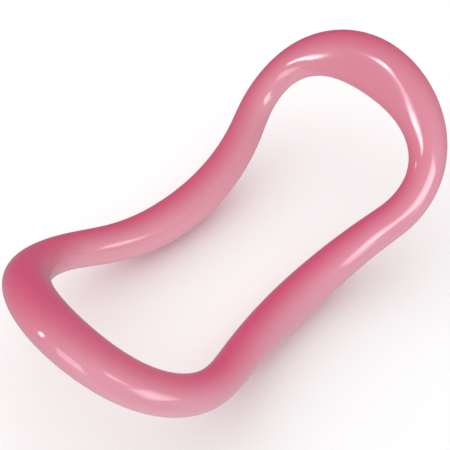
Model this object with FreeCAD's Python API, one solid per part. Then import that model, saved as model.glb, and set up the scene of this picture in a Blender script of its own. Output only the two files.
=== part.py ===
import FreeCAD, Part
import math
import os

# A closed exercise ring: one oval tube on a waisted outline, bent on an arch so that both ends rise.
# It is moulded as two hollow half shells that meet on the arch and are cemented with a tongue and groove.
# +X points at the round end with the flat grip, +Z is up, the origin is under the middle of the ring's box.
# Every length is in millimetres.

# Arch on which the tube's middle line is bent
ARCH_RADIUS = 126.0

# Outline of the middle line, laid flat: along the arch from its lowest line, and half widths across it
WIDE_END_REACH = 120.5
ROUND_END_REACH = 139.5
WIDE_END_HALF_WIDTH = 53.0
WAIST_HALF_WIDTH = 41.5
ROUND_END_HALF_WIDTH = 52.5

# Oval tube: width across the arch and thickness square to it, from the wide end to the round end
WIDE_END_TUBE_WIDTH = 26.0
WIDE_END_TUBE_THICKNESS = 21.5
WIDE_CORNER_TUBE_WIDTH = 18.2
WIDE_CORNER_TUBE_THICKNESS = 19.5
WAIST_TUBE_WIDTH = 21.4
WAIST_TUBE_THICKNESS = 25.0
ROUND_CORNER_TUBE_WIDTH = 18.6
ROUND_CORNER_TUBE_THICKNESS = 16.0
ROUND_END_TUBE_WIDTH = 19.0
ROUND_END_TUBE_THICKNESS = 15.0

# Flat grip on the hollow side of the round end: a lip that grows inwards and fades out along the tube
GRIP_LIP = 10.5
GRIP_REACH = 76.0

# Shell wall and the joint between the shells
WALL = 3.2
GROOVE_WIDTH = 1.2
GROOVE_DEPTH = 1.5
TONGUE_CLEARANCE = 0.1
CEMENT_THICKNESS = 0.4

# Outline stations as shares: of the end's reach, and of the way from the waist to the end's half width
WIDE_FLANK_SHARES = (0.312, 0.50)
WIDE_CORNER_SHARES = (0.54, 1.0)
ROUND_FLANK_SHARES = (0.4615, 0.62)
ROUND_CORNER_SHARES = (0.5735, 1.0)
# Turns into the ends, as shares of the end's reach and of its half width
WIDE_TURN_SHARES = (0.893, 0.645)
ROUND_TURN_SHARES = (0.804, 0.893)
# Weight of an oval's corner point, and the fuller one that draws the grip flat
OVAL_CORNER_SHARE = math.sqrt(0.5)
GRIP_CORNER_SHARE = 1.8

# Faces round the ring, and tube sections to each face
PATCH_COUNT = 12
SECTIONS_PER_PATCH = 6
SECTION_COUNT = PATCH_COUNT * SECTIONS_PER_PATCH


def between(low, high, share):
    return low + (high - low) * share


def flank_point(direction, reach, half_width, shares):
    along_share, across_share = shares
    across = between(WAIST_HALF_WIDTH, half_width, across_share)
    return FreeCAD.Vector(direction * reach * along_share, across, 0)


def turn_point(direction, reach, half_width, shares):
    along_share, across_share = shares
    return FreeCAD.Vector(direction * reach * along_share, half_width * across_share, 0)


def mirrored_round(half):
    """Close one side's list, from the wide end to the round end, with its mirror image on the other side."""
    other_side = [FreeCAD.Vector(p.x, -p.y, p.z) for p in reversed(half[1:-1])]
    return half + other_side


def smooth_round(points, parameters):
    """A smooth closed curve, as the middle one of three rounds through the points."""
    round_length = parameters[-1]
    three_rounds = [lap * round_length + step for lap in range(3) for step in parameters[:-1]]
    curve = Part.BSplineCurve()
    curve.interpolate(Points=points * 3 + points[:1], Parameters=three_rounds + [3 * round_length])
    return curve


def flat_outline():
    """The middle line laid flat, and the distance from station to station on the way round."""
    one_side = [
        FreeCAD.Vector(-WIDE_END_REACH, 0, 0),
        turn_point(-1, WIDE_END_REACH, WIDE_END_HALF_WIDTH, WIDE_TURN_SHARES),
        flank_point(-1, WIDE_END_REACH, WIDE_END_HALF_WIDTH, WIDE_CORNER_SHARES),
        flank_point(-1, WIDE_END_REACH, WIDE_END_HALF_WIDTH, WIDE_FLANK_SHARES),
        FreeCAD.Vector(0, WAIST_HALF_WIDTH, 0),
        flank_point(1, ROUND_END_REACH, ROUND_END_HALF_WIDTH, ROUND_FLANK_SHARES),
        flank_point(1, ROUND_END_REACH, ROUND_END_HALF_WIDTH, ROUND_CORNER_SHARES),
        turn_point(1, ROUND_END_REACH, ROUND_END_HALF_WIDTH, ROUND_TURN_SHARES),
        FreeCAD.Vector(ROUND_END_REACH, 0, 0),
    ]
    stations = mirrored_round(one_side)
    parameters = [0.0]
    for here, there in zip(stations, stations[1:] + stations[:1]):
        parameters.append(parameters[-1] + here.distanceToPoint(there))
    return smooth_round(stations, parameters), parameters


def tube_sizes(parameters):
    """Half width and half thickness of the oval on the way round, at every second station of the outline."""
    ovals = [
        FreeCAD.Vector(WIDE_END_TUBE_WIDTH, WIDE_END_TUBE_THICKNESS, 0),
        FreeCAD.Vector(WIDE_CORNER_TUBE_WIDTH, WIDE_CORNER_TUBE_THICKNESS, 0),
        FreeCAD.Vector(WAIST_TUBE_WIDTH, WAIST_TUBE_THICKNESS, 0),
        FreeCAD.Vector(ROUND_CORNER_TUBE_WIDTH, ROUND_CORNER_TUBE_THICKNESS, 0),
        FreeCAD.Vector(ROUND_END_TUBE_WIDTH, ROUND_END_TUBE_THICKNESS, 0),
    ]
    halves = [oval / 2 for oval in ovals]
    return smooth_round(halves + halves[-2:0:-1], parameters[::2])


class Section:
    """One section of the tube: its middle, its two directions and its half sizes."""

    def __init__(self, outline, sizes, parameter, from_grip):
        flat, direction = outline.getD1(parameter)
        direction.normalize()
        turn = flat.x / ARCH_RADIUS
        along_arch = FreeCAD.Vector(math.cos(turn), 0, math.sin(turn))
        self.up = FreeCAD.Vector(-math.sin(turn), 0, math.cos(turn))
        self.out = FreeCAD.Vector(0, direction.x, 0) - along_arch * direction.y
        self.middle = FreeCAD.Vector(ARCH_RADIUS * math.sin(turn), flat.y, ARCH_RADIUS * (1 - math.cos(turn)))
        half = sizes.value(parameter)
        grip_share = math.cos(math.pi / 2 * min(from_grip / GRIP_REACH, 1)) ** 2
        self.outer_half = half.x
        self.inner_half = half.x + GRIP_LIP * grip_share
        self.half_thickness = half.y
        self.grip_corner = between(OVAL_CORNER_SHARE, GRIP_CORNER_SHARE, grip_share)

    def point(self, out, up):
        return self.middle + self.out * out + self.up * up


def ring_sections():
    outline, parameters = flat_outline()
    sizes = tube_sizes(parameters)
    start = parameters[-1]
    length = outline.length(start, 2 * start)
    sections = []
    for index in range(SECTION_COUNT):
        distance = length * index / SECTION_COUNT
        parameter = outline.parameterAtDistance(distance, start)
        sections.append(Section(outline, sizes, parameter, abs(distance - length / 2)))
    return sections


def closed_band(rows, sections):
    """A band round the whole ring, in patches. Each row gives one pole as (out, up, weight) at a section."""
    degree = len(rows) - 1
    poles = []
    weights = []
    lifted_rows = []
    for row in rows:
        lifted = []
        for section in sections:
            out, up, weight = row(section)
            lifted.append((section.point(out, up) * weight, weight))
        lifted_rows.append(lifted)
    count = len(sections)
    for index in range(count):
        pole_row = []
        weight_row = []
        for lifted in lifted_rows:
            before, here, after = lifted[index - 1], lifted[index], lifted[(index + 1) % count]
            place = here[0] - (before[0] - here[0] * 2 + after[0]) / 6
            weight = here[1] - (before[1] - here[1] * 2 + after[1]) / 6
            pole_row.append(place / weight)
            weight_row.append(weight)
        poles.append(pole_row)
        weights.append(weight_row)
    band = Part.BSplineSurface()
    band.buildFromPolesMultsKnots(
        poles, [1] * (count + 1), [degree + 1, degree + 1], list(range(count + 1)), [0, 1],
        True, False, 3, degree, weights)
    faces = []
    for index in range(PATCH_COUNT):
        patch = band.copy()
        patch.segment(index * SECTIONS_PER_PATCH, (index + 1) * SECTIONS_PER_PATCH, 0, 1)
        faces.append(patch.toShape())
    return faces


def wall_place(section, inward, depth):
    """Place across the tube, at a depth in the wall from the outer skin."""
    if inward:
        return depth - section.inner_half
    return section.outer_half - depth


def quarter(sections, side, inward, depth):
    """A quarter of the oval from the joint to the crown: side is +1 above the arch and -1 below it."""

    def crown(section):
        return side * (section.half_thickness - depth)

    def at_joint(section):
        return wall_place(section, inward, depth), 0, 1

    def at_corner(section):
        weight = section.grip_corner if inward and side > 0 else OVAL_CORNER_SHARE
        return wall_place(section, inward, depth), crown(section), weight

    def at_crown(section):
        return 0, crown(section), 1

    return closed_band([at_joint, at_corner, at_crown], sections)


def wall_steps(sections, inward, steps):
    """Flat bands through a list of (depth in the wall, height over the joint)."""
    faces = []
    for start, end in zip(steps, steps[1:]):
        rows = []
        for depth, height in (start, end):
            rows.append(lambda section, d=depth, h=height: (wall_place(section, inward, d), h, 1))
        faces += closed_band(rows, sections)
    return faces


def joint_steps(key_width, key_height):
    """The wall's edge with a key in its middle: down to key_height, over key_width."""
    near = (WALL - key_width) / 2
    far = near + key_width
    return [(0, 0), (near, 0), (near, key_height), (far, key_height), (far, 0), (WALL, 0)]


def solid_of(faces):
    shell = Part.makeShell(faces)
    shell.sewShape()
    solid = Part.makeSolid(shell)
    if solid.Volume < 0:
        solid.reverse()
    return solid


def half_shell(sections, side, key_width, key_height):
    faces = []
    for inward in (False, True):
        faces += quarter(sections, side, inward, 0)
        faces += quarter(sections, side, inward, WALL)
        faces += wall_steps(sections, inward, joint_steps(key_width, key_height))
    return solid_of(faces)


def cement_bead(sections, inward):
    """Cement that fills the groove below the tongue."""
    near = (WALL - GROOVE_WIDTH) / 2
    far = near + GROOVE_WIDTH
    top = CEMENT_THICKNESS - GROOVE_DEPTH
    loop = [(near, -GROOVE_DEPTH), (far, -GROOVE_DEPTH), (far, top), (near, top), (near, -GROOVE_DEPTH)]
    return solid_of(wall_steps(sections, inward, loop))


sections = ring_sections()
tongue_width = GROOVE_WIDTH - 2 * TONGUE_CLEARANCE
tongue_height = CEMENT_THICKNESS - GROOVE_DEPTH
pieces = {
    "upper_shell": half_shell(sections, 1, tongue_width, tongue_height),
    "lower_shell": half_shell(sections, -1, GROOVE_WIDTH, -GROOVE_DEPTH),
    "outer_seam_cement": cement_bead(sections, False),
    "inner_seam_cement": cement_bead(sections, True),
}

# Set the origin under the middle of the ring's box
box = Part.makeCompound(list(pieces.values())).optimalBoundingBox(False, False)
to_origin = FreeCAD.Vector(-box.Center.x, -box.Center.y, -box.ZMin)

os.makedirs("parts", exist_ok=True)
for name, solid in pieces.items():
    solid.translate(to_origin)
    solid.exportStep("parts/" + name + ".step")
    print(name, "valid", solid.isValid(), "volume", round(solid.Volume), "mm3")
print("box", round(box.XLength, 2), round(box.YLength, 2), round(box.ZLength, 2))
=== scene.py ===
# %% [markdown]
# # A pilates ring in pink gloss plastic
# This lesson dresses a packed exercise ring for its picture. The ring is one closed tube on a waisted
# outline, bent on an arch so that both ends rise, and moulded as two hollow half shells that are cemented
# together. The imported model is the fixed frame: every piece made here sits where that model says, in
# metres. Its shells could be shown as they are, but they are cut into facets of uneven size, and a gloss
# shows each of them. So the shells are made again from the same sizes, as even lofts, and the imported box
# is kept to hold them against.

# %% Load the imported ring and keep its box
import math

import bpy
import numpy as np
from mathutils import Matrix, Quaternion, Vector


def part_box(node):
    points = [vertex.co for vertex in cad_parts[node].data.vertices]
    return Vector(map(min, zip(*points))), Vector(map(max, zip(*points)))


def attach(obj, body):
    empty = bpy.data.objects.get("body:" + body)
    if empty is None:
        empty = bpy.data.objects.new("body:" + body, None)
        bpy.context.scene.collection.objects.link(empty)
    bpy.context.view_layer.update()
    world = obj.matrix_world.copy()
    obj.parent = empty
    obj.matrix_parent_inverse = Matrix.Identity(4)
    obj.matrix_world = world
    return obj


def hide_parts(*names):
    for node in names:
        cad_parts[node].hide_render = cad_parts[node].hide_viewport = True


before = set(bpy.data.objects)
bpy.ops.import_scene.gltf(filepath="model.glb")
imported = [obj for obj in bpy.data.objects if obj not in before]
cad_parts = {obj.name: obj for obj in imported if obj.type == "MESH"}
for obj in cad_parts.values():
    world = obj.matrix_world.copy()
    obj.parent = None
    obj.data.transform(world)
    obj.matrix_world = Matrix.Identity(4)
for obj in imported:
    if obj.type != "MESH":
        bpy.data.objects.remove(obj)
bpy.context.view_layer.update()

print("packed pieces:", sorted(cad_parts))

# %% [markdown]
# ## The middle line
# Laid flat, the tube's middle line is a peanut: a wide end, a waist and a round end. A maker would draw a
# few stations and let a spline run through them. A Bezier circle could be dragged into this shape by
# hand, but then nobody could say how wide the waist is. Named sizes keep the outline exact. Only one side
# is written down, because the ring is its own mirror image.

# %% Stations of the middle line, wide end first
MM = 0.001
ARCH_RADIUS = 126.0 * MM
WIDE_END_REACH = 120.5 * MM
ROUND_END_REACH = 139.5 * MM
WIDE_END_HALF_WIDTH = 53.0 * MM
WAIST_HALF_WIDTH = 41.5 * MM
ROUND_END_HALF_WIDTH = 52.5 * MM


def rounding(end_reach, half_width, along_share, across_share):
    """A station on the rounding of an end."""
    return end_reach * along_share, half_width * across_share


def flank(end_reach, half_width, along_share, swell_share):
    """A station on the flank, where the outline swells from the waist to an end."""
    return end_reach * along_share, WAIST_HALF_WIDTH + (half_width - WAIST_HALF_WIDTH) * swell_share


wide_end = (-WIDE_END_REACH, WIDE_END_HALF_WIDTH)
round_end = (ROUND_END_REACH, ROUND_END_HALF_WIDTH)
one_side = [
    rounding(*wide_end, along_share=1.0, across_share=0.0),
    rounding(*wide_end, along_share=0.893, across_share=0.645),
    flank(*wide_end, along_share=0.54, swell_share=1.0),
    flank(*wide_end, along_share=0.312, swell_share=0.50),
    (0.0, WAIST_HALF_WIDTH),
    flank(*round_end, along_share=0.4615, swell_share=0.62),
    flank(*round_end, along_share=0.5735, swell_share=1.0),
    rounding(*round_end, along_share=0.804, across_share=0.893),
    rounding(*round_end, along_share=1.0, across_share=0.0),
]
stations = np.array(one_side + [(along, -across) for along, across in one_side[-2:0:-1]])
steps = np.linalg.norm(np.roll(stations, -1, axis=0) - stations, axis=1)
marks = np.concatenate([[0.0], np.cumsum(steps)])
print("stations:", len(stations), "chord length round:", round(marks[-1], 4))

# %% [markdown]
# ## A spline through the stations
# Between the stations the real tube flows without a kink, and a gloss skin would show any kink as a bent
# highlight. Blender's Bezier handles could be set to automatic, but they only match slopes, not bends. A
# closed cubic spline matches both. It needs one small set of equations, in which each station asks its
# neighbours to meet it smoothly.

# %% A closed cubic spline
FINE_STEPS = 6000


def spline_bends(marks, values):
    """The spline's second slopes at its stations, from the rule that neighbours meet without a kink."""
    count = len(values)
    gaps = np.diff(marks)
    rows = np.zeros((count, count))
    pulls = np.zeros_like(values)
    for here in range(count):
        before, after = here - 1, (here + 1) % count
        rows[here, before] += gaps[before]
        rows[here, here] += 2 * (gaps[before] + gaps[here])
        rows[here, after] += gaps[here]
        pulls[here] = 6 * ((values[after] - values[here]) / gaps[here]
                           - (values[here] - values[before]) / gaps[before])
    return np.linalg.solve(rows, pulls)


def spline_at(marks, values, where):
    """Places and slopes on the closed spline through the values."""
    bends = spline_bends(marks, values)
    here = np.clip(np.searchsorted(marks, where, side="right") - 1, 0, len(values) - 1)
    after = (here + 1) % len(values)
    gap = (marks[here + 1] - marks[here])[:, None]
    done = (where - marks[here])[:, None]
    left = gap - done
    low = values[here] / gap - bends[here] * gap / 6
    high = values[after] / gap - bends[after] * gap / 6
    places = (bends[here] * left**3 + bends[after] * done**3) / (6 * gap) + low * left + high * done
    slopes = (bends[after] * done**2 - bends[here] * left**2) / (2 * gap) - low + high
    return places, slopes


fine_marks = np.linspace(0, marks[-1], FINE_STEPS + 1)
fine_line, _ = spline_at(marks, stations, fine_marks)
fine_lengths = np.concatenate([[0], np.cumsum(np.linalg.norm(np.diff(fine_line, axis=0), axis=1))])
line_length = fine_lengths[-1]
print("middle line, laid flat:", round(line_length, 4), "m round")

# %% [markdown]
# ## The tube's sections
# The tube isn't one round hose. It is a broad oval at the wide end, tall at the waist and slim at the
# round end, and there a flat grip grows on the hollow side. A bevelled curve would keep one section all
# the way, so the skin is lofted instead: many sections stand square on the middle line at even distances,
# and each has its own half sizes, from the same kind of spline.

# %% Half sizes of the oval on the way round
WIDE_END_TUBE = (26.0 * MM, 21.5 * MM)
WIDE_FLANK_TUBE = (18.2 * MM, 19.5 * MM)
WAIST_TUBE = (21.4 * MM, 25.0 * MM)
ROUND_FLANK_TUBE = (18.6 * MM, 16.0 * MM)
ROUND_END_TUBE = (19.0 * MM, 15.0 * MM)
GRIP_LIP = 10.5 * MM
GRIP_REACH = 76.0 * MM
SECTION_COUNT = 288

tube_sizes = [WIDE_END_TUBE, WIDE_FLANK_TUBE, WAIST_TUBE, ROUND_FLANK_TUBE, ROUND_END_TUBE]
half_sizes = np.array(tube_sizes + tube_sizes[-2:0:-1]) / 2
distances = line_length * np.arange(SECTION_COUNT) / SECTION_COUNT
where = np.interp(distances, fine_lengths, fine_marks)
flat_line, flat_slopes = spline_at(marks, stations, where)
section_halves, _ = spline_at(marks[::2], half_sizes, where)
from_grip = np.minimum(np.abs(distances - line_length / 2) / GRIP_REACH, 1)
grip_share = np.cos(math.pi / 2 * from_grip) ** 2
outer_half = section_halves[:, 0]
inner_half = section_halves[:, 0] + GRIP_LIP * grip_share
half_thickness = section_halves[:, 1]
print("tube width:", round(2 * outer_half.min(), 4), "to", round(2 * outer_half.max(), 4))

# %% [markdown]
# ## The arch
# The real ring is bent like a saddle, so that it fits a calf or a back. A Simple Deform modifier could
# bend a flat ring, but it would also tilt and stretch the sections by amounts that are hard to name. Here
# each point of the middle line is wrapped on a circle of the arch's radius, and its section turns with it
# and keeps its size.

# %% Bend the flat line on the arch
turn = flat_line[:, 0] / ARCH_RADIUS
heading = flat_slopes / np.linalg.norm(flat_slopes, axis=1)[:, None]
zeros = np.zeros(SECTION_COUNT)
along_arch = np.stack([np.cos(turn), zeros, np.sin(turn)], axis=1)
up_arch = np.stack([-np.sin(turn), zeros, np.cos(turn)], axis=1)
across_arch = np.array([[0.0, 1.0, 0.0]])
outward = across_arch * heading[:, :1] - along_arch * heading[:, 1:]
middle = np.stack([ARCH_RADIUS * np.sin(turn), flat_line[:, 1], ARCH_RADIUS * (1 - np.cos(turn))], axis=1)
print("arch rise:", round(middle[:, 2].max(), 4), "m")

# %% [markdown]
# ## One quarter of an oval
# Each section is four quarter ovals. A quarter is a rational curve from the joint between the shells,
# past a corner point, to the crown. The corner's weight says how full the curve is: the square root of a
# half draws a true ellipse, and a heavier corner at the grip draws the flat land with its crisp crest. A
# bevel on a box could look alike in one place, but only the weight can fade the grip into the oval
# without a seam.

# %% Points on a quarter, from the joint to the crown
QUARTER_POINTS = 20
OVAL_WEIGHT = math.sqrt(0.5)
GRIP_WEIGHT = 1.8


def quarter_oval(across, crown, weight):
    """Places (across, up) on every section's quarter: joint at (across, 0), crown at (0, crown)."""
    share = np.linspace(0, 1, QUARTER_POINTS)[None, :]
    weight = np.broadcast_to(weight, (SECTION_COUNT,))[:, None]
    joint_part, corner_part, crown_part = (1 - share) ** 2, 2 * weight * share * (1 - share), share**2
    total = joint_part + corner_part + crown_part
    across_places = across[:, None] * (joint_part + corner_part) / total
    up_places = crown[:, None] * (corner_part + crown_part) / total
    return np.stack([across_places, up_places], axis=2)


grip_weight = OVAL_WEIGHT + (GRIP_WEIGHT - OVAL_WEIGHT) * grip_share
print("corner weight at the grip:", round(grip_weight.max(), 3))

# %% [markdown]
# ## The wall of a half shell
# The ring is hollow. Each half shell has an outer skin, a cavity and a joint edge on both sides, and the
# edge carries a tongue above and a groove below. Even well cemented shells leave a trace of their joint,
# so the skin's edges are broken by a hairline, which is so fine that it shows only close up. Solidify
# could thicken a skin, but it can't make the tongue or the hairline, so one closed profile runs round the
# whole wall.

# %% The joint edge of the wall
WALL = 3.2 * MM
HAIRLINE = 0.03 * MM


def joint_edge(skin, key_width, key_height):
    """The wall's edge from the skin to the cavity, with a key (tongue or groove) in its middle."""
    inward = -np.sign(skin)
    near, far = (WALL - key_width) / 2, (WALL + key_width) / 2
    edge = [(HAIRLINE, 0), (near, 0), (near, key_height), (far, key_height), (far, 0), (WALL, 0)]
    places = [np.stack([skin + inward * depth, np.full(SECTION_COUNT, height)], axis=1)
              for depth, height in edge]
    return np.stack(places, axis=1)


def eased(quarter, side):
    """A skin quarter whose first point is lifted off the joint by the hairline."""
    quarter = quarter.copy()
    quarter[:, 0, 1] = side * HAIRLINE
    return quarter


print("wall", WALL, "m, hairline", HAIRLINE, "m")

# %% The profile round a shell's wall
UPPER, LOWER = 1, -1
TONGUE_WIDTH, TONGUE_HEIGHT = 1.0 * MM, -1.1 * MM
GROOVE_WIDTH, GROOVE_HEIGHT = 1.2 * MM, -1.5 * MM


def shell_profile(side, key_width, key_height):
    """Places (across, up) round the wall of the upper or the lower shell, at every section."""
    inner_weight = grip_weight if side == UPPER else OVAL_WEIGHT
    crown, cavity_crown = side * half_thickness, side * (half_thickness - WALL)
    outer_skin = eased(quarter_oval(outer_half, crown, OVAL_WEIGHT), side)
    inner_skin = eased(quarter_oval(-inner_half, crown, inner_weight), side)
    outer_cavity = quarter_oval(outer_half - WALL, cavity_crown, OVAL_WEIGHT)
    inner_cavity = quarter_oval(WALL - inner_half, cavity_crown, inner_weight)
    inner_edge = joint_edge(-inner_half, key_width, key_height)
    outer_edge = joint_edge(outer_half, key_width, key_height)
    return np.concatenate([
        outer_skin, inner_skin[:, -2::-1], inner_edge[:, :-1], inner_cavity,
        outer_cavity[:, -2::-1], outer_edge[:, -2::-1],
    ], axis=1)


upper_profile = shell_profile(UPPER, TONGUE_WIDTH, TONGUE_HEIGHT)
lower_profile = shell_profile(LOWER, GROOVE_WIDTH, GROOVE_HEIGHT)
print("points round the wall:", upper_profile.shape[1])

# %% [markdown]
# ## From profiles to shells
# A loft joins each section's profile to the next one with a band of quads. The last section joins the
# first, so the shell is one closed mesh with no cap. Blender's Bridge Edge Loops would do the same by
# hand. Writing the quads keeps their order known. Sharp edges are then found by angle, so that the skin
# shades smoothly and the joint stays crisp.

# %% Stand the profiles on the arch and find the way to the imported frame
def standing(profile):
    """The profile's points in space, with the foot of the arch's middle line at the origin."""
    return (middle[:, None, :] + outward[:, None, :] * profile[:, :, :1]
            + up_arch[:, None, :] * profile[:, :, 1:])


ring_points = np.concatenate([standing(upper_profile), standing(lower_profile)], axis=1).reshape(-1, 3)
lowest, highest = ring_points.min(axis=0), ring_points.max(axis=0)
to_frame = np.array([-(lowest[0] + highest[0]) / 2, 0.0, -lowest[2]])
print("moved to the packed frame by", to_frame.round(5))

# %% Loft a profile into a closed mesh
SHARP_ANGLE = math.radians(35)


def loft(name, profile):
    """A piece whose skin runs through the profile at every section, all round the ring."""
    count = profile.shape[1]
    start = np.arange(SECTION_COUNT * count).reshape(SECTION_COUNT, count)
    ahead, beside = np.roll(start, -1, axis=0), np.roll(start, -1, axis=1)
    opposite = np.roll(ahead, -1, axis=1)
    quads = np.stack([start, beside, opposite, ahead], axis=2).reshape(-1, 4)
    mesh = bpy.data.meshes.new(name)
    mesh.from_pydata((standing(profile) + to_frame).reshape(-1, 3).tolist(), [], quads.tolist())
    mesh.update()
    mesh.shade_smooth()
    mesh.set_sharp_from_angle(angle=SHARP_ANGLE)
    piece = bpy.data.objects.new(name, mesh)
    bpy.context.scene.collection.objects.link(piece)
    print(name, "quads:", len(quads))
    return piece


upper_shell_skin = loft("upper_shell_skin", upper_profile)
lower_shell_skin = loft("lower_shell_skin", lower_profile[:, ::-1])

# %% [markdown]
# ## The shells take the imported ones' place
# Each loft hides the imported node it stands for and rides on the root body.
# The ring is also left out of what a gloss can see, because its coat would mirror the near flank in the
# far one, as a dark band that the real ring doesn't show. A rougher coat would hide that band too, but it
# would blur the highlights.

# %% Put the shells in place of the imported ones
for piece, node in ((upper_shell_skin, "upper_shell"), (lower_shell_skin, "lower_shell")):
    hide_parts(node)
    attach(piece, "root")
    piece.visible_glossy = False
    low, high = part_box(node)
    points = np.array([v.co for v in piece.data.vertices])
    print(node, "off its packed box by", (points.min(0) - low).round(5), (points.max(0) - high).round(5))

# %% [markdown]
# ## Pink gloss plastic
# The real shell is a hard pink plastic with a wet-looking gloss. Its colour is deep where it mirrors a
# dark part of the room, and a pale veil lies over it wherever it mirrors a bright part. Mixing a white
# layer in by hand would look right from one side only. A clear coat does it from all sides: the coat's
# high index makes a strong veil, and its small roughness gives the highlights a soft rim. The pink drifts
# a little, as it does where plastic flowed in a mould.

# %% Helpers for materials
def new_material(name):
    """A material with its nodes and links at hand."""
    material = bpy.data.materials.new(name)
    material.use_nodes = True
    return material, material.node_tree.nodes, material.node_tree.links


def noise(nodes, links, scale, detail):
    """Noise that is fixed to the piece."""
    place = nodes.new("ShaderNodeTexCoord")
    pattern = nodes.new("ShaderNodeTexNoise")
    pattern.inputs["Scale"].default_value = scale
    pattern.inputs["Detail"].default_value = detail
    links.new(place.outputs["Object"], pattern.inputs["Vector"])
    return pattern.outputs["Fac"]


def drift(nodes, links, pattern, *stops):
    """A colour that drifts with the noise, between two stops of a position and a colour."""
    tint = nodes.new("ShaderNodeValToRGB")
    for element, (position, colour) in zip(tint.color_ramp.elements, stops):
        element.position = position
        element.color = (*colour, 1)
    links.new(pattern, tint.inputs["Fac"])
    return tint.outputs["Color"]


print("helpers:", new_material.__name__, noise.__name__, drift.__name__)

# %% The shell's colour and coat
DEEP_PINK = (0.664, 0.075, 0.177)
LIGHT_PINK = (0.697, 0.078, 0.186)

shell_plastic, nodes, links = new_material("pink_gloss_plastic")
skin = nodes["Principled BSDF"]
skin.inputs["IOR"].default_value = 1.45
skin.inputs["Specular IOR Level"].default_value = 0.5
skin.inputs["Coat Weight"].default_value = 1.0
skin.inputs["Coat Roughness"].default_value = 0.10
skin.inputs["Coat IOR"].default_value = 2.6
flow = noise(nodes, links, scale=22.0, detail=3.0)
links.new(drift(nodes, links, flow, (0.3, DEEP_PINK), (0.7, LIGHT_PINK)), skin.inputs["Base Color"])
for piece in (upper_shell_skin, lower_shell_skin):
    piece.data.materials.append(shell_plastic)
print(shell_plastic.name, "on both shells, from", DEEP_PINK, "to", LIGHT_PINK)

# %% [markdown]
# ## Fine unevenness of the moulded skin
# No moulded skin is perfect. Its plastic is hazier in some spots, and its surface has a faint peel, finer
# than a fingertip feels. Modelled dents would need millions of faces, so two noises do it: one moves the
# roughness under the coat, and a bump of a fifth of a millimetre at low strength bends the light a trace.

# %% Haze and peel
HAZE_LEAST, HAZE_MOST = 0.38, 0.46
PEEL_DEPTH = 0.2 * MM

haze = nodes.new("ShaderNodeMapRange")
haze.inputs["To Min"].default_value = HAZE_LEAST
haze.inputs["To Max"].default_value = HAZE_MOST
links.new(noise(nodes, links, scale=90.0, detail=4.0), haze.inputs["Value"])
links.new(haze.outputs["Result"], skin.inputs["Roughness"])

peel = nodes.new("ShaderNodeBump")
peel.inputs["Strength"].default_value = 0.05
peel.inputs["Distance"].default_value = PEEL_DEPTH
links.new(noise(nodes, links, scale=420.0, detail=2.0), peel.inputs["Height"])
links.new(peel.outputs["Normal"], skin.inputs["Normal"])
print("roughness from", HAZE_LEAST, "to", HAZE_MOST, "and peel", PEEL_DEPTH, "m")

# %% [markdown]
# ## Seam cement
# The cement fills the groove under the tongue, so nobody sees it while the ring is whole. The packed
# beads already have the right shape and stay as they are. They could keep a plain grey, but a library
# part may be taken apart, so they get the look of cured cement: the shell's pink, paler and cloudy.

# %% The cement's material
CLOUDED_PINK = (0.60, 0.22, 0.30)
PALE_PINK = (0.74, 0.34, 0.42)

seam_cement, nodes, links = new_material("seam_cement")
bead = nodes["Principled BSDF"]
bead.inputs["Roughness"].default_value = 0.45
clouds = noise(nodes, links, scale=300.0, detail=2.0)
links.new(drift(nodes, links, clouds, (0.0, CLOUDED_PINK), (1.0, PALE_PINK)), bead.inputs["Base Color"])
for node in ("outer_seam_cement", "inner_seam_cement"):
    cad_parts[node].data.materials.clear()
    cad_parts[node].data.materials.append(seam_cement)
print(seam_cement.name, "on both beads")

# %% [markdown]
# ## Floor
# The ring lies on a plain white sheet. A small sheet with a curved back would be the studio's way, but
# its edge shows from low down. So the sheet is flat, and so large that it ends in the white of the room.
# It is matte, which keeps it white at a shallow angle, and it is left out of the gloss, so that the coat
# can mirror the room's glow from low down.

# %% The floor sheet
FLOOR_HALF = 60.0
FLOOR_WHITE = (0.90, 0.90, 0.90, 1)

floor_mesh = bpy.data.meshes.new("floor_sheet")
floor_mesh.from_pydata([(-FLOOR_HALF, -FLOOR_HALF, 0), (FLOOR_HALF, -FLOOR_HALF, 0),
                        (FLOOR_HALF, FLOOR_HALF, 0), (-FLOOR_HALF, FLOOR_HALF, 0)], [], [(0, 1, 2, 3)])
floor_sheet = bpy.data.objects.new("floor_sheet", floor_mesh)
bpy.context.scene.collection.objects.link(floor_sheet)
floor_white, nodes, links = new_material("floor_white")
sheet = nodes["Principled BSDF"]
sheet.inputs["Base Color"].default_value = FLOOR_WHITE
sheet.inputs["Roughness"].default_value = 0.9
sheet.inputs["Specular IOR Level"].default_value = 0.0
floor_mesh.materials.append(floor_white)
floor_sheet.visible_glossy = False
print("floor:", 2 * FLOOR_HALF, "m square")

# %% [markdown]
# ## The room
# A gloss object is lit twice: light falls on its colour, and its coat mirrors the room. In the picture
# the two differ. The colour is lit softly from behind and above, and the coat mirrors a room that glows
# in front of the ring and is dark behind it. Large lamps could do both, but each would also draw a hard
# mirror image. So the world does it, with Light Path telling the rays apart: one ramp for light on the
# colour, one for the gloss, and white for the camera, straight or through glass.

# %% Brightness that grows towards one side of the room
FAR_SIDE, NEAR_SIDE = -1.0, 1.0

room = bpy.data.worlds.new("room")
room.use_nodes = True
nodes, links = room.node_tree.nodes, room.node_tree.links
towards = nodes.new("ShaderNodeTexCoord")


def direction(azimuth, elevation):
    """The direction in which something stands, seen from the ring, from degrees round from +X and up."""
    a, e = math.radians(azimuth), math.radians(elevation)
    return Vector((math.cos(a) * math.cos(e), math.sin(a) * math.cos(e), math.sin(e)))


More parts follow.
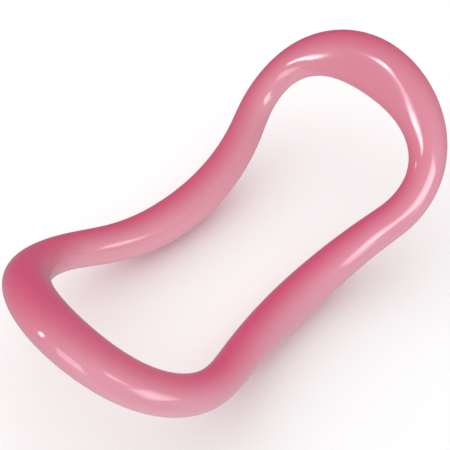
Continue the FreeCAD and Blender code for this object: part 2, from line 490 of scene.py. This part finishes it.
def ramp(brightest_way, full_from, darkest, brightest):
    """Brightness that grows from the far side of the room and is full once the way is close enough."""
    closeness = nodes.new("ShaderNodeVectorMath")
    closeness.operation = "DOT_PRODUCT"
    closeness.inputs[1].default_value = brightest_way
    links.new(towards.outputs["Generated"], closeness.inputs[0])
    rise = nodes.new("ShaderNodeMapRange")
    rise.inputs["From Min"].default_value = FAR_SIDE
    rise.inputs["From Max"].default_value = full_from
    rise.inputs["To Min"].default_value = darkest
    rise.inputs["To Max"].default_value = brightest
    links.new(closeness.outputs["Value"], rise.inputs["Value"])
    return rise.outputs["Result"]


print("straight up is", [round(c, 2) for c in direction(0, 90)])

# %% The room as the colour, the gloss and the camera see it
ROOM_MIDDLE, ROOM_DARK, ROOM_BRIGHT = direction(79, 34), 0.15, 1.60
GLOW_MIDDLE, GLOW_DARK, GLOW_BRIGHT = direction(-122, -7), 0.02, 1.20
GLOW_FULL_FROM = 0.67
BACKDROP_WHITE = 1.0

ray = nodes.new("ShaderNodeLightPath")
seen = nodes.new("ShaderNodeMix")
links.new(ray.outputs["Is Glossy Ray"], seen.inputs["Factor"])
links.new(ramp(ROOM_MIDDLE, NEAR_SIDE, ROOM_DARK, ROOM_BRIGHT), seen.inputs["A"])
links.new(ramp(GLOW_MIDDLE, GLOW_FULL_FROM, GLOW_DARK, GLOW_BRIGHT), seen.inputs["B"])
straight = nodes.new("ShaderNodeMath")
straight.operation = "MAXIMUM"
links.new(ray.outputs["Is Camera Ray"], straight.inputs[0])
links.new(ray.outputs["Is Transmission Ray"], straight.inputs[1])
backdrop = nodes.new("ShaderNodeMix")
links.new(straight.outputs["Value"], backdrop.inputs["Factor"])
links.new(seen.outputs["Result"], backdrop.inputs["A"])
backdrop.inputs["B"].default_value = BACKDROP_WHITE
links.new(backdrop.outputs["Result"], nodes["Background"].inputs["Strength"])
nodes["Background"].inputs["Color"].default_value = (1, 1, 1, 1)
bpy.context.scene.world = room
bpy.context.scene.view_settings.view_transform = "Standard"
print("room glow strongest towards", [round(c, 2) for c in GLOW_MIDDLE])

# %% [markdown]
# ## Cards for the highlights
# The crisp highlights are mirror images of windows and strips in the studio. Painting them on would fix
# them to the skin, so area lamps are hung where the mirrored line of sight from each highlight points.
# They show in the gloss and don't light the colour. A far card is mirrored all round the ring, at the
# same slope of the skin. A near card is mirrored at another slope in each place, so it can be set to suit
# one highlight, and a narrow spread works like a photographer's grid and keeps its light off the rest.
# One more card lies in the loop, just above the floor. It only lights the colour of the inner sides, as
# light from a white table does.

# %% Helpers for cards
FULL_SPREAD, GRID_SPREAD, SLIT_SPREAD = 180, 60, 24


def packing(spread):
    """How many times brighter a lamp looks head on when its light is packed into so many degrees."""
    half_spread = math.radians(spread) / 2
    return math.tan(half_spread) / (math.tan(half_spread) - half_spread)


def card(name, spot, azimuth, elevation, distance, width, height, radiance,
         spread=FULL_SPREAD, roll=0, lights_colour=False):
    """A card that faces a spot, for the gloss or the colour, with the power for how bright it should look."""
    lamp = bpy.data.lights.new(name, "AREA")
    lamp.shape = "RECTANGLE"
    lamp.size, lamp.size_y = width, height
    lamp.spread = math.radians(spread)
    lamp.energy = radiance * math.pi * width * height / packing(spread)
    thing = bpy.data.objects.new(name, lamp)
    thing.location = spot + direction(azimuth, elevation) * distance
    facing = direction(azimuth, elevation).to_track_quat("Z", "Y")
    thing.rotation_euler = (facing @ Quaternion((0, 0, 1), math.radians(roll))).to_euler()
    thing.visible_diffuse = lights_colour
    thing.visible_glossy = not lights_colour
    thing.visible_camera = False
    bpy.context.scene.collection.objects.link(thing)
    print(name, "power", round(lamp.energy, 2), "W at", [round(c, 2) for c in thing.location])


print("a grid packs a card's light", round(packing(GRID_SPREAD), 1), "times")

# %% Hang the cards
RING_MIDDLE = Vector((0.0, 0.0, 0.045))
WIDE_END_CORNER = Vector((-0.095, -0.048, 0.058))
ROUND_END_SIDE = Vector((0.105, -0.030, 0.060))
NEAR_FLANK = Vector((0.070, -0.048, 0.050))

card("side_window", RING_MIDDLE, azimuth=156.3, elevation=17, distance=3.0,
     width=0.23, height=0.78, radiance=3.9)
card("side_slit", ROUND_END_SIDE, azimuth=138, elevation=12, distance=0.5,
     width=0.024, height=0.05, radiance=3.7, spread=SLIT_SPREAD)
card("flank_strip", NEAR_FLANK, azimuth=-120, elevation=35.2, distance=0.325,
     width=0.25, height=0.100, radiance=2.2, spread=GRID_SPREAD, roll=-28)
card("front_window", RING_MIDDLE, azimuth=-173, elevation=14, distance=3.0,
     width=1.3, height=1.4, radiance=0.7)
card("corner_window", WIDE_END_CORNER, azimuth=-82, elevation=16, distance=0.26,
     width=0.20, height=0.12, radiance=1.3, spread=GRID_SPREAD)
card("bounce_card", RING_MIDDLE, azimuth=0, elevation=-90, distance=0.043,
     width=0.15, height=0.05, radiance=0.45, lights_colour=True)

# %% [markdown]
# ## Camera
# The picture looks down at the ring from the front left, over its wide end. A camera could be turned by
# eye until the ring looks right, but distance and lens can make up for each other. Here the place, the
# aim and the lens come from fitting the ring's outline to the picture, and the lens isn't shifted.

# %% The picture's camera
EYE = Vector((-187.52, -188.20, 397.66)) * MM
AIM = Vector((-3.30, 1.10, 43.87)) * MM
LENS, SENSOR_WIDTH = 70.72, 36.0
NEAREST_SEEN = 10 * MM

view = bpy.data.cameras.new("picture_camera")
view.lens = LENS
view.sensor_width = SENSOR_WIDTH
view.clip_start = NEAREST_SEEN
view_object = bpy.data.objects.new("picture_camera", view)
view_object.location = EYE
view_object.rotation_euler = (EYE - AIM).to_track_quat("Z", "Y").to_euler()
bpy.context.scene.collection.objects.link(view_object)
bpy.context.scene.camera = view_object
print("camera", round((EYE - AIM).length, 4), "m from its aim")
